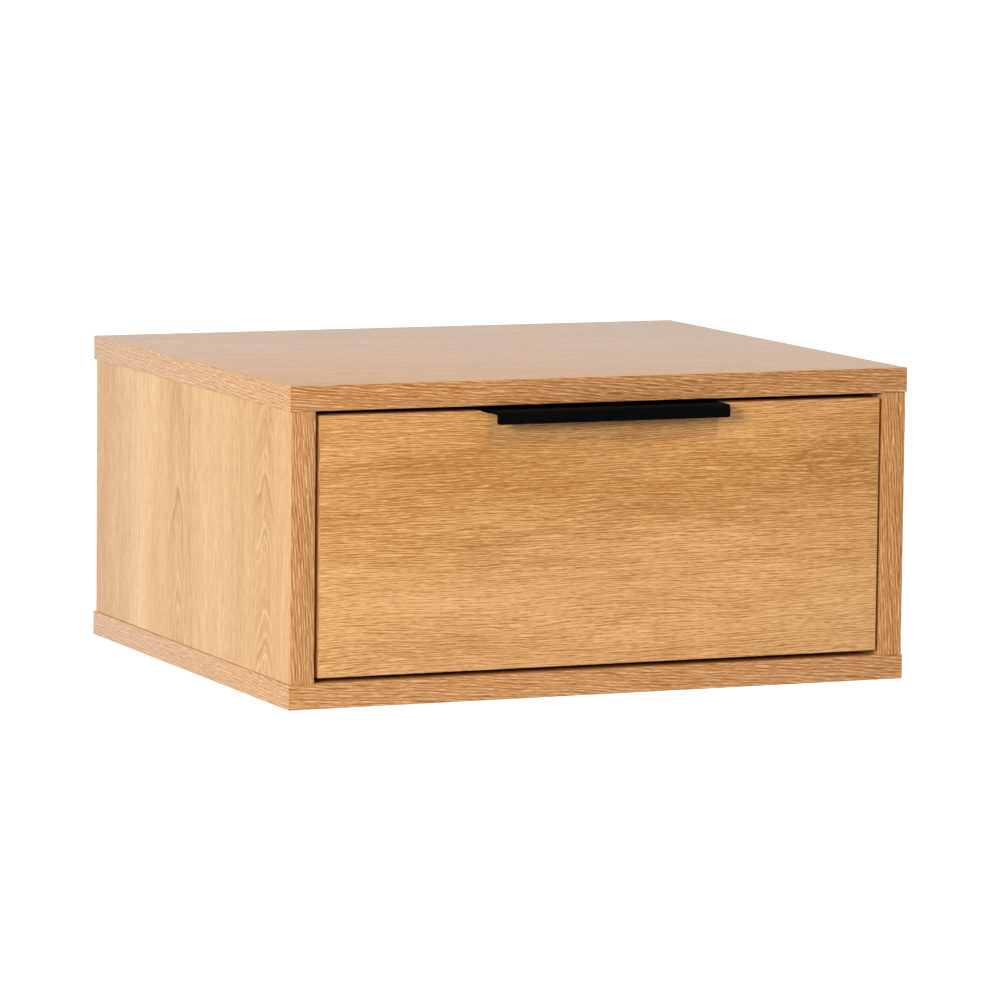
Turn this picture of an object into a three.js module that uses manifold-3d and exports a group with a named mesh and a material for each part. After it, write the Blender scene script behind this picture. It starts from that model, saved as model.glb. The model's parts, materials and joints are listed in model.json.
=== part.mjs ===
// A wall-hung nightstand with one drawer, in oak-faced board with a black lip pull.
// Millimetres, +Z up. The front faces -Y and the wall is the plane Y = 0. The origin lies on
// that plane, midway between the two holes for the wall screws.

import * as THREE from 'three';
import { mergeVertices } from 'three/addons/utils/BufferGeometryUtils.js';
import Module from 'manifold-3d';

const wasm = await Module();
wasm.setup();

// Driving dimensions: the cabinet
const width = 400;
const depth = 343;
const height = 190;
const boardThickness = 15;
const overhang = 1; // top and bottom past the side panels, each side
const jointLine = 0.1; // between boards and fittings that meet
const edgeRadius = 0.8; // rounding of the glued edge bands
const edgeSteps = 2;
const backThickness = 3;
const backInset = 3; // back panel's ends, in from the sides' outer faces

// The hanging rail behind the drawer, and its wall screws
const hangingRailHeight = 60;
const wallScrewSpacing = 288;
const wallHoleRadius = 2.75;
const wallSinkRadius = 5.5;
const railDowelRadius = 4;
const railDowelLength = 30;
const railDowelSpacing = 32;
const dowelChamfer = 1;
const dowelWall = 4; // board left behind a dowel

// The drawer front and the routed recess that its pull sits in
const frontThickness = 15;
const frontSideGap = 2.4;
const frontTopGap = 2.8;
const frontBottomGap = 3.2;
const recessDepth = 1.7;
const recessRun = 4.7; // each sloping end of the recess
const recessSideGap = 0.6;

// The drawer box
const boxBoard = 12;
const boxHeight = 110;
const boxRearGap = 10.8; // between the drawer box and the hanging rail
const bottomThickness = 3;
const grooveDepth = 6;
const grooveLift = 10; // groove above the side's lower edge
const grooveGap = 0.2;

// The pull, bent from one strip
const pullLength = 150;
const pullSheet = 2;
const pullReach = 15; // front of the lip, out from the drawer front
const pullLipHeight = 7.7;
const pullFlangeHeight = 24; // down behind the drawer front
const pullBend = 2.5; // outer bend radius, more than the sheet
const pullCorner = 1.5;
const pullScrewSpacing = 128;
const pullScrewDrop = 14; // screws below the pull's top
const bendSteps = 4;

// The roller slides: pressed steel rails and nylon rollers
const slideGap = 12.5; // between the drawer box and the cabinet side
const sheet = 1.2;
const railLift = 4; // rails above the cabinet's bottom panel
const railSetback = 2; // cabinet rail behind the drawer front
const railRearGap = 7.9; // between the cabinet rail and the hanging rail
const railReach = 10; // cabinet rail's flanges, out from the side panel
const railEndGap = 1;
const runnerSideGap = 0.9;
const rollerRadius = 8;
const rollerWidth = 6.5;
const rollerChamfer = 0.6;
const rollerDish = 0.9; // depth of the ring sunk in each face
const rollerDishInner = 4.4;
const rollerDishOuter = 6.8;
const rollerSetback = 11; // front roller's axis behind the rail's front end
const rollerSideGap = 0.6;
const rollingGap = 0.15;
const rollerClearance = 0.8; // above and below a roller that isn't loaded there
const pinRadius = 2.5;
const pinClearance = 0.15;
const pinFit = 0.05;
const pinHeadRadius = 4.2;
const pinHeadThickness = 1;
const pinHeadGap = 0.3;
const travelShare = 0.75; // of the cabinet rail's length
const stopGap = 0.3;
const humpHeight = 1.6; // ridge that stops the open drawer
const humpTop = 2;
const humpRun = 2;

// Screws
const screwClearance = 0.1;
const railScrewRadius = 1.75;
const railScrewHead = 3.4;
const railScrewLength = 13;
const railScrewInset = 40; // from each end of a cabinet rail
const boxScrewInset = 30; // from each end of a drawer rail
const boxScrewLength = 10;
const boxScrewHeadHeight = 1.6;
const pullScrewRadius = 1.6;
const pullScrewHead = 3.2;
const pullScrewLength = 12;
const backScrewRadius = 2;
const backScrewHead = 3.8;
const backScrewLength = 35;
const crossLengthShare = 0.62; // of the head's radius
const crossWidth = 0.9;
const crossDepth = 1.1;
const pointShare = 0.35; // of a screw's length that tapers to its point

// Cam locks and their bolts
const camBack = 2.6; // board left behind a cam
const camFit = 0.15;
const carcassCam = { radius: 7.35, reach: 34, thread: 11, threadRadius: 3, headRadius: 3.3 };
const drawerCam = { radius: 5.85, reach: 24, thread: 9, threadRadius: 2.5, headRadius: 2.6 };
const camInset = 50; // from the front and the back edge of a side panel
const drawerCamDropShare = 0.5; // of the drawer side's height
const camHeadLength = 2.4;
const camNeckPast = 1; // bolt's neck, past the cam
const camNeckShare = 0.6; // of the bolt head's radius
const camShankShare = 0.9; // of the thread's radius
const camCollarShare = 1.15; // of the thread's radius
const camCollarLength = 1.5;
const camCrossDepth = 1.4;
const camCrossWidth = 1.3;
const camHoleExtra = 1; // bolt hole's radius past the thread's

const overrun = 1; // cuts run this far past the face they open
const roundSteps = 24;
const screwSteps = 16;

// Places, in the cabinet's frame: X across, Y from the wall, Z from the underside
const sideOuter = width / 2 - overhang;
const sideInner = sideOuter - boardThickness;
const floor = boardThickness;
const ceiling = height - boardThickness;
const front = -depth;
const sideBack = -backThickness - jointLine;
const sideHeight = ceiling - floor - 2 * jointLine;
const midHeight = (floor + ceiling) / 2;
const wallScrewHeight = ceiling - jointLine - hangingRailHeight / 2;

const hangingRailFront = sideBack - boardThickness;
const frontBack = front + frontThickness;
const frontBottom = floor + frontBottomGap;
const frontTop = ceiling - frontTopGap;
const frontHalf = sideInner - frontSideGap;

const railBottom = floor + railLift;
const frontRollerZ = railBottom + sheet + rollerClearance + rollerRadius;
const rearRollerZ = railBottom + sheet + rollingGap + rollerRadius;
const runnerUnder = frontRollerZ + rollerRadius + rollingGap;
const railTop = runnerUnder + sheet + rollerClearance + sheet;
const railFront = frontBack + railSetback;
const railRear = hangingRailFront - railRearGap;
const railLength = railRear - railFront;
const drawerTravel = railLength * travelShare;
const railWebOuter = sideInner - jointLine;
const railWebInner = railWebOuter - sheet;
const stopFace = railRear - sheet;
const frontRollerY = railFront + rollerSetback;
const rearRollerY = stopFace - stopGap - rollerRadius;

const boxHalf = sideInner - slideGap;
const boxInner = boxHalf - boxBoard;
const boxFront = frontBack + jointLine;
const boxRear = hangingRailFront - boxRearGap;
const boxLength = boxRear - boxFront;
const boxBottom = railBottom + sheet + jointLine;
const boxTop = boxBottom + boxHeight;
const grooveBottom = boxBottom + grooveLift;
const grooveHeight = bottomThickness + 2 * grooveGap;
const runnerWebInner = boxHalf + jointLine;
const runnerWebOuter = runnerWebInner + sheet;
const runnerRear = stopFace - railEndGap;

const pullInnerBend = pullBend - pullSheet;
const pullUnder = frontTop - recessDepth + pullInnerBend / 2; // the board's corner clears the bend
const pullTop = pullUnder + pullSheet;

// Materials
const finish = (color, roughness, metalness = 0) => {
  return new THREE.MeshStandardMaterial({ color, roughness, metalness });
};
const oak = finish(0xd9a566, 0.55);
const paleOak = finish(0xdcbf93, 0.6);
const hardboard = finish(0x9a6b40, 0.75);
const beech = finish(0xd8b383, 0.8);
const blackPaint = finish(0x131313, 0.45);
const whiteEnamel = finish(0xe9e6dd, 0.4);
const nylon = finish(0xf2f1ec, 0.5);
const steel = finish(0xb9bcc0, 0.35, 1);
const zinc = finish(0xa9abac, 0.45, 1);

// Solids: a geometry becomes a manifold solid to be cut or joined, and comes back as a geometry
function solidOf(geometry) {
  const bare = geometry.index ? geometry.toNonIndexed() : geometry.clone();
  bare.deleteAttribute('normal');
  bare.deleteAttribute('uv');
  const merged = mergeVertices(bare);
  const corners = Array.from(merged.index.array);
  const kept = [];
  for (let i = 0; i < corners.length; i += 3) {
    const [a, b, c] = corners.slice(i, i + 3);
    if (a !== b && b !== c && c !== a) kept.push(a, b, c);
  }
  const vertProperties = merged.attributes.position.array;
  return new wasm.Manifold(new wasm.Mesh({ numProp: 3, vertProperties, triVerts: new Uint32Array(kept) }));
}

function geometryOf(solid) {
  const mesh = solid.getMesh();
  const geometry = new THREE.BufferGeometry();
  geometry.setAttribute('position', new THREE.BufferAttribute(mesh.vertProperties, 3));
  geometry.setIndex(new THREE.BufferAttribute(mesh.triVerts, 1));
  return geometry;
}

const combine = (how, first, others) => {
  const solid = others.reduce((made, other) => made[how](solidOf(other)), solidOf(first));
  return geometryOf(solid);
};
const join = (first, ...others) => combine('add', first, others);
const without = (first, ...others) => combine('subtract', first, others);
const common = (first, ...others) => combine('intersect', first, others);

// A named piece, at its place in its group
function piece(name, geometry, material, x, y, z) {
  const made = new THREE.Mesh(geometry, material);
  made.name = name;
  made.position.set(x, y, z);
  return made;
}

// Cuts a tool out of a piece, the tool standing at a place in the piece's group
function cut(target, tool, x, y, z) {
  const placed = tool.clone();
  placed.translate(x - target.position.x, y - target.position.y, z - target.position.z);
  target.geometry = without(target.geometry, placed);
}

// Basic shapes, each centred on its own origin
const block = (x, y, z) => new THREE.BoxGeometry(x, y, z);

function roundedRectangle(x, y, radius) {
  const shape = new THREE.Shape();
  const right = x / 2;
  const top = y / 2;
  shape.moveTo(radius - right, -top);
  shape.absarc(right - radius, radius - top, radius, -Math.PI / 2, 0);
  shape.absarc(right - radius, top - radius, radius, 0, Math.PI / 2);
  shape.absarc(radius - right, top - radius, radius, Math.PI / 2, Math.PI);
  shape.absarc(radius - right, radius - top, radius, Math.PI, Math.PI * 1.5);
  return shape;
}

// A board whose edges are all rounded, lying flat
function bandedBoard(x, y, thickness) {
  const outline = roundedRectangle(x - 2 * edgeRadius, y - 2 * edgeRadius, edgeRadius);
  const board = new THREE.ExtrudeGeometry(outline, {
    depth: thickness - 2 * edgeRadius,
    bevelSize: edgeRadius,
    bevelThickness: edgeRadius,
    bevelSegments: edgeSteps,
    curveSegments: edgeSteps,
  });
  return board.translate(0, 0, edgeRadius - thickness / 2);
}

// An outline of [x, y] points drawn along Z, centred on its length
function prism(points, length) {
  const outline = new THREE.Shape(points.map(([x, y]) => new THREE.Vector2(x, y)));
  const made = new THREE.ExtrudeGeometry(outline, { depth: length, bevelEnabled: false });
  return made.translate(0, 0, -length / 2);
}

// The same outline given as [x, z] points and drawn along Y
const beam = (points, length) => prism(points, length).rotateX(Math.PI / 2);

// A profile of [radius, height] points turned about Y
function turned(profile, steps = roundSteps) {
  return new THREE.LatheGeometry(profile.map(([r, h]) => new THREE.Vector2(r, h)), steps);
}

const rod = (radius, length, steps = roundSteps) => new THREE.CylinderGeometry(radius, radius, length, steps);

// A countersunk screw with its head's top at the origin and its point towards -Y
const screwProfile = (radius, headRadius, length) => [
  [0, -length],
  [radius * pointShare, -length],
  [radius, -length * (1 - pointShare)],
  [radius, radius - headRadius],
  [headRadius, 0],
];

function countersunkScrew(radius, headRadius, length) {
  const made = turned([...screwProfile(radius, headRadius, length), [0, 0]], screwSteps);
  return without(made, crossRecess(headRadius, crossWidth, crossDepth));
}

function countersunkHole(radius, headRadius, length) {
  const wide = headRadius + screwClearance;
  const profile = screwProfile(radius + screwClearance, wide, length + screwClearance);
  return turned([...profile, [wide, overrun], [0, overrun]], screwSteps);
}

// The driver's cross, sunk from the origin towards -Y
function crossRecess(headRadius, crossWide, crossDeep) {
  const long = 2 * headRadius * crossLengthShare;
  const tall = crossDeep + overrun;
  const middle = overrun - tall / 2;
  const bar = block(long, tall, crossWide).translate(0, middle, 0);
  return join(bar, block(crossWide, tall, long).translate(0, middle, 0));
}

// Cabinet boards
function endPanel(name, z) {
  return piece(name, bandedBoard(width, depth, boardThickness), oak, 0, front / 2, z);
}

function sidePanel(name, side) {
  const half = boardThickness / 2;
  const long = sideBack - front;
  const outline = new THREE.Shape();
  outline.moveTo(half, long / 2);
  outline.lineTo(-half, long / 2);
  outline.lineTo(-half, edgeRadius - long / 2);
  outline.absarc(edgeRadius - half, edgeRadius - long / 2, edgeRadius, Math.PI, Math.PI * 1.5);
  outline.absarc(half - edgeRadius, edgeRadius - long / 2, edgeRadius, -Math.PI / 2, 0);
  const board = new THREE.ExtrudeGeometry(outline, {
    depth: sideHeight,
    bevelEnabled: false,
    curveSegments: edgeSteps,
  });
  board.translate(0, 0, -sideHeight / 2);
  return piece(name, board, oak, side * (sideOuter - half), (front + sideBack) / 2, midHeight);
}

const topPanel = endPanel('top_panel', height - boardThickness / 2);
const bottomPanel = endPanel('bottom_panel', boardThickness / 2);
const sidePanels = { [-1]: sidePanel('left_side_panel', -1), 1: sidePanel('right_side_panel', 1) };

const backPanel = piece(
  'back_panel',
  block(2 * (sideOuter - backInset), backThickness, sideHeight),
  hardboard,
  0,
  -backThickness / 2,
  midHeight,
);

const hangingRailY = sideBack - boardThickness / 2;
const hangingRail = piece(
  'hanging_rail',
  block(2 * (sideInner - jointLine), boardThickness, hangingRailHeight),
  paleOak,
  0,
  hangingRailY,
  wallScrewHeight,
);

// Wall-screw holes through the rail and the back panel, countersunk on the drawer's side
const wallHole = rod(wallHoleRadius, 2 * depth, screwSteps);
const wallSink = turned(
  [
    [0, 0],
    [wallHoleRadius, 0],
    [wallSinkRadius, wallSinkRadius - wallHoleRadius],
    [wallSinkRadius, wallSinkRadius],
    [0, wallSinkRadius],
  ],
  screwSteps,
).rotateZ(Math.PI);
const sinkBottom = hangingRailFront + wallSinkRadius - wallHoleRadius;
for (const side of [-1, 1]) {
  const x = (side * wallScrewSpacing) / 2;
  cut(hangingRail, wallHole, x, 0, wallScrewHeight);
  cut(backPanel, wallHole, x, 0, wallScrewHeight);
  cut(hangingRail, wallSink, x, sinkBottom, wallScrewHeight);
}

// Dowels that hold the hanging rail between the side panels
function dowel(name) {
  const end = railDowelLength / 2;
  const tip = railDowelRadius - dowelChamfer;
  const made = turned(
    [
      [0, -end],
      [tip, -end],
      [railDowelRadius, dowelChamfer - end],
      [railDowelRadius, end - dowelChamfer],
      [tip, end],
      [0, end],
    ],
    screwSteps,
  );
  return piece(name, made.rotateZ(Math.PI / 2), beech, 0, 0, 0);
}

const dowelHole = rod(railDowelRadius + jointLine, railDowelLength + 2 * jointLine, screwSteps);
dowelHole.rotateZ(Math.PI / 2);
const railDowels = [];
for (const side of [-1, 1]) {
  for (const [level, place] of [[-1, 'lower'], [1, 'upper']]) {
    const made = dowel(`${side < 0 ? 'left' : 'right'}_${place}_rail_dowel`);
    const x = side * (sideOuter - dowelWall - railDowelLength / 2);
    const z = wallScrewHeight + (level * railDowelSpacing) / 2;
    made.position.set(x, hangingRailY, z);
    cut(hangingRail, dowelHole, x, hangingRailY, z);
    cut(sidePanels[side], dowelHole, x, hangingRailY, z);
    railDowels.push(made);
  }
}

// A cam lock: a die-cast drum lying along X with its slotted face at the origin and its body
// towards +X. The bolt comes in along Z, on the board's middle plane. The mouth that let the
// bolt's head in now faces +Y.
function camLock(cam, board) {
  const long = board - camBack - camFit;
  const boltDepth = board / 2;
  const headRoom = cam.headRadius + camFit;
  const neckRoom = cam.headRadius * camNeckShare + camFit;
  const out = cam.radius + overrun;
  const drum = rod(cam.radius, long).rotateZ(Math.PI / 2).translate(long / 2, 0, 0);
  const seat = rod(headRoom, camHeadLength + 2 * camFit, screwSteps).rotateX(Math.PI / 2);
  seat.translate(boltDepth, 0, 0);
  const mouth = rod(headRoom, out, screwSteps).translate(boltDepth, out / 2, 0);
  const neckSlot = block(2 * neckRoom, out, out).translate(boltDepth, out / 2, out / 2);
  const neck = rod(neckRoom, out, screwSteps).rotateX(Math.PI / 2).translate(boltDepth, 0, out / 2);
  const cross = crossRecess(cam.radius, camCrossWidth, camCrossDepth).rotateZ(Math.PI / 2);
  return without(drum, seat, mouth, neckSlot, neck, cross);
}

// Its bolt, along Z, with the head's middle at the origin and the thread at the top
function camBolt(cam) {
  const headHalf = camHeadLength / 2;
  const neck = cam.headRadius * camNeckShare;
  const neckEnd = cam.radius + camNeckPast;
  const shank = cam.threadRadius * camShankShare;
  const collar = cam.threadRadius * camCollarShare;
  return turned(
    [
      [0, -headHalf],
      [cam.headRadius, -headHalf],
      [cam.headRadius, headHalf],
      [neck, headHalf],
      [neck, neckEnd],
      [shank, neckEnd],
      [shank, cam.reach - camCollarLength],
      [collar, cam.reach - camCollarLength],
      [collar, cam.reach - jointLine],
      [cam.threadRadius, cam.reach - jointLine],
      [cam.threadRadius, cam.reach + cam.thread],
      [0, cam.reach + cam.thread],
    ],
    screwSteps,
  ).rotateX(Math.PI / 2);
}

const camHole = (cam, board) => {
  const long = board - camBack + overrun;
  return rod(cam.radius + camFit, long).rotateZ(Math.PI / 2).translate(long / 2 - overrun, 0, 0);
};
const boltHole = (cam) => {
  const long = cam.reach + jointLine;
  const made = rod(cam.threadRadius + camHoleExtra, long, screwSteps).rotateX(Math.PI / 2);
  return made.translate(0, 0, long / 2);
};
const threadHole = (cam) => {
  const long = cam.thread + overrun + jointLine;
  const made = rod(cam.threadRadius + jointLine, long, screwSteps).rotateX(Math.PI / 2);
  return made.translate(0, 0, cam.reach + long / 2 - overrun);
};

const carcassFittings = [];
const carcassCamHole = camHole(carcassCam, boardThickness);
const carcassBoltHole = boltHole(carcassCam);
const carcassThreadHole = threadHole(carcassCam);
for (const side of [-1, 1]) {
  for (const level of [-1, 1]) {
    for (const [place, y] of [['front', front + camInset], ['rear', sideBack - camInset]]) {
      const label = `${side < 0 ? 'left' : 'right'}_${level < 0 ? 'lower' : 'upper'}_${place}`;
      const z = level < 0 ? floor + carcassCam.reach : ceiling - carcassCam.reach;
      const outward = side < 0 ? Math.PI : 0;
      const upright = level < 0 ? Math.PI : 0;
      const turn = (geometry) => geometry.clone().rotateZ(outward).rotateX(upright);
      const drum = turn(camLock(carcassCam, boardThickness));
      const lock = piece(`${label}_cam`, drum, zinc, side * sideInner, y, z);
      const boltX = side * (sideInner + boardThickness / 2);
      const bolt = piece(`${label}_cam_bolt`, turn(camBolt(carcassCam)), steel, boltX, y, z);
      cut(sidePanels[side], turn(carcassCamHole), side * sideInner, y, z);
      cut(sidePanels[side], turn(carcassBoltHole), boltX, y, z);
      cut(level < 0 ? bottomPanel : topPanel, turn(carcassThreadHole), boltX, y, z);
      carcassFittings.push(lock, bolt);
    }
  }
}

// The slides. Both rails are pressed from sheet, and `side` mirrors their section.
function cabinetRail(name, side) {
  const tip = railWebOuter - railReach;
  const section = [
    [railWebOuter, railBottom],
    [railWebOuter, railTop],
    [tip, railTop],
    [tip, railTop - sheet],
    [railWebInner, railTop - sheet],
    [railWebInner, railBottom + sheet],
    [tip, railBottom + sheet],
    [tip, railBottom],
  ].map(([x, z]) => [side * (x - railWebOuter), z - railBottom]);
  const channel = beam(section, railLength);
  const tall = railTop - railBottom;
  const endStop = block(railReach, sheet, tall);
  endStop.translate((-side * railReach) / 2, (railLength - sheet) / 2, tall / 2);
  const below = rollerRadius + rollingGap - humpHeight;
  const contact = Math.sqrt(rollerRadius ** 2 - below ** 2);
  const humpBack = rearRollerY - drawerTravel - contact - stopGap;
  const foot = humpTop / 2 + humpRun;
  const hump = prism(
    [
      [-foot, -sheet / 2],
      [foot, -sheet / 2],
      [humpTop / 2, humpHeight],
      [-humpTop / 2, humpHeight],
    ],
    railReach,
  );
  hump.rotateX(Math.PI / 2).rotateZ(Math.PI / 2);
  hump.translate((-side * railReach) / 2, humpBack - humpTop / 2 - (railFront + railRear) / 2, sheet);
  return piece(
    name,
    join(channel, endStop, hump),
    whiteEnamel,
    side * railWebOuter,
    (railFront + railRear) / 2,
    railBottom,
  );
}

function drawerRail(name, side) {
  const runnerTip = railWebInner - runnerSideGap;
  const section = [
    [boxInner, railBottom],
    [runnerWebOuter, railBottom],
    [runnerWebOuter, runnerUnder],
    [runnerTip, runnerUnder],
    [runnerTip, runnerUnder + sheet],
    [runnerWebInner, runnerUnder + sheet],
    [runnerWebInner, railBottom + sheet],
    [boxInner, railBottom + sheet],
  ].map(([x, z]) => [side * (x - runnerWebInner), z - railBottom]);
  const long = runnerRear - boxFront;
  const middle = (runnerRear + boxFront) / 2;
  return piece(name, beam(section, long), whiteEnamel, side * runnerWebInner, middle, railBottom);
}

// A nylon roller lying along X, with a ring sunk in each face
function roller(name, x, y, z) {
  const half = rollerWidth / 2;
  const bore = pinRadius + pinClearance;
  const made = turned([
    [bore, -half],
    [rollerDishInner, -half],
    [rollerDishInner, rollerDish - half],
    [rollerDishOuter, rollerDish - half],
    [rollerDishOuter, -half],
    [rollerRadius - rollerChamfer, -half],
    [rollerRadius, rollerChamfer - half],
    [rollerRadius, half - rollerChamfer],
    [rollerRadius - rollerChamfer, half],
    [rollerDishOuter, half],
    [rollerDishOuter, half - rollerDish],
    [rollerDishInner, half - rollerDish],
    [rollerDishInner, half],
    [bore, half],
    [bore, -half],
  ]);
  return piece(name, made.rotateZ(Math.PI / 2), nylon, x, y, z);
}

// The rivet that a roller turns on: its shank through the rail's web, and its head outside the
// roller, towards +X where `way` is 1
function rollerPin(name, way, webFar, y, z) {
  const long = sheet + rollerSideGap + rollerWidth + pinHeadGap;
  const made = turned(
    [
      [0, 0],
      [pinRadius, 0],
      [pinRadius, long],
      [pinHeadRadius, long],
      [pinHeadRadius, long + pinHeadThickness],
      [0, long + pinHeadThickness],
    ],
    screwSteps,
  );
  return piece(name, made.rotateZ((-way * Math.PI) / 2), steel, webFar, y, z);
}

// A roundhead screw along Z, its shank up from the origin and its head below
function roundheadScrew(radius, headRadius, length, headHeight) {
  const made = turned(
    [
      [0, -length],
      [radius * pointShare, -length],
      [radius, -length * (1 - pointShare)],
      [radius, 0],
      [headRadius, 0],
      [headRadius, headHeight / 2],
      [headRadius - headHeight / 2, headHeight],
      [0, headHeight],
    ],
    screwSteps,
  );
  const cross = crossRecess(headRadius, crossWidth, crossDepth).translate(0, headHeight, 0);
  return without(made, cross).rotateX(-Math.PI / 2);
}

// Drawer boards
const drawerFront = piece(
  'drawer_front',
  bandedBoard(2 * frontHalf, frontTop - frontBottom, frontThickness).rotateX(Math.PI / 2),
  oak,
  0,
  (front + frontBack) / 2,
  (frontTop + frontBottom) / 2,
);
const recessFloor = pullLength / 2 + recessSideGap;
const recessRise = recessDepth + edgeRadius;
const recessSpread = (recessRun * recessRise) / recessDepth;
const recess = beam(
  [
    [-recessFloor, 0],
    [recessFloor, 0],
    [recessFloor + recessSpread, recessRise],
    [-recessFloor - recessSpread, recessRise],
  ],
  frontThickness + 2 * overrun,
);
cut(drawerFront, recess, 0, (front + frontBack) / 2, frontTop - recessDepth);

function drawerSide(name, side) {
  const board = block(boxBoard, boxLength, boxHeight);
  const x = side * (boxHalf - boxBoard / 2);
  return piece(name, board, paleOak, x, (boxFront + boxRear) / 2, (boxBottom + boxTop) / 2);
}
const drawerSides = { [-1]: drawerSide('left_drawer_side', -1), 1: drawerSide('right_drawer_side', 1) };

const bottomTop = grooveBottom + grooveGap + bottomThickness;
const backBottom = bottomTop + jointLine;
const drawerBack = piece(
  'drawer_back',
  block(2 * (boxInner - jointLine), boxBoard, boxTop - backBottom),
  paleOak,
  0,
  boxRear - boxBoard / 2,
  (boxTop + backBottom) / 2,
);

// The drawer's bottom, held in grooves in the front and the sides, and running under the back
const bottomFront = frontBack - grooveDepth + grooveGap;
const bottomHalf = boxInner + grooveDepth - grooveGap;
const drawerBottom = piece(
  'drawer_bottom',
  block(2 * bottomHalf, boxRear - bottomFront, bottomThickness),
  hardboard,
  0,
  (boxRear + bottomFront) / 2,
  bottomTop - bottomThickness / 2,
);
const grooveHalf = bottomHalf + grooveGap;
const grooveLong = boxRear + overrun - (frontBack - grooveDepth);
const groove = block(2 * grooveHalf, grooveLong, grooveHeight);
for (const board of [drawerFront, drawerSides[-1], drawerSides[1]]) {
  cut(board, groove, 0, frontBack - grooveDepth + grooveLong / 2, grooveBottom + grooveHeight / 2);
}

// The pull: a strip bent over the drawer front's top edge, its ends rounded
function pullSection() {
  const lipFront = -pullReach - frontThickness;
  const flangeBack = pullSheet;
  const inner = pullInnerBend;
  const outline = new THREE.Shape();
  outline.moveTo(lipFront, -pullLipHeight);
  outline.lineTo(lipFront + pullSheet, -pullLipHeight);
  outline.lineTo(lipFront + pullSheet, -pullSheet - inner);
  outline.absarc(lipFront + pullSheet + inner, -pullSheet - inner, inner, Math.PI, Math.PI / 2, true);
  outline.lineTo(-inner, -pullSheet);
  outline.absarc(-inner, -pullSheet - inner, inner, Math.PI / 2, 0, true);
  outline.lineTo(0, -pullFlangeHeight);
  outline.lineTo(flangeBack, -pullFlangeHeight);
  outline.lineTo(flangeBack, -pullBend);
  outline.absarc(flangeBack - pullBend, -pullBend, pullBend, 0, Math.PI / 2);
  outline.lineTo(lipFront + pullBend, 0);
  outline.absarc(lipFront + pullBend, -pullBend, pullBend, Math.PI / 2, Math.PI);
  return outline;
}

function pullGeometry() {
  const strip = new THREE.ExtrudeGeometry(pullSection(), {
    depth: pullLength,
    bevelEnabled: false,
    curveSegments: bendSteps,
  });
  strip.rotateX(Math.PI / 2).rotateZ(Math.PI / 2).translate(-pullLength / 2, 0, 0);
  const high = pullBend + overrun;
  const rounded = (drop, from, to) => {
    const outline = roundedRectangle(pullLength, drop + high, pullCorner);
    const plate = new THREE.ExtrudeGeometry(outline, {
      depth: to - from,
      bevelEnabled: false,
      curveSegments: bendSteps,
    });
    return plate.rotateX(Math.PI / 2).translate(0, to, (high - drop) / 2);
  };
  const middle = -(pullReach + frontThickness) / 2;
  const lip = rounded(pullLipHeight, -pullReach - frontThickness - overrun, middle);
  return common(strip, join(lip, rounded(pullFlangeHeight, middle, pullSheet + overrun)));
}

const pullY = frontBack + jointLine;
const pull = piece('pull', pullGeometry(), blackPaint, 0, pullY, pullTop);
const pullScrewY = pullY + pullSheet;
const pullScrewZ = pullTop - pullScrewDrop;
const pullScrewHole = countersunkHole(pullScrewRadius, pullScrewHead, pullScrewLength);
const pullScrews = [];
for (const side of [-1, 1]) {
  const x = (side * pullScrewSpacing) / 2;
  const made = countersunkScrew(pullScrewRadius, pullScrewHead, pullScrewLength);
  cut(pull, pullScrewHole, x, pullScrewY, pullScrewZ);
  cut(drawerFront, pullScrewHole, x, pullScrewY, pullScrewZ);
  pullScrews.push(piece(`${side < 0 ? 'left' : 'right'}_pull_screw`, made, steel, x, pullScrewY, pullScrewZ));
}

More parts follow.
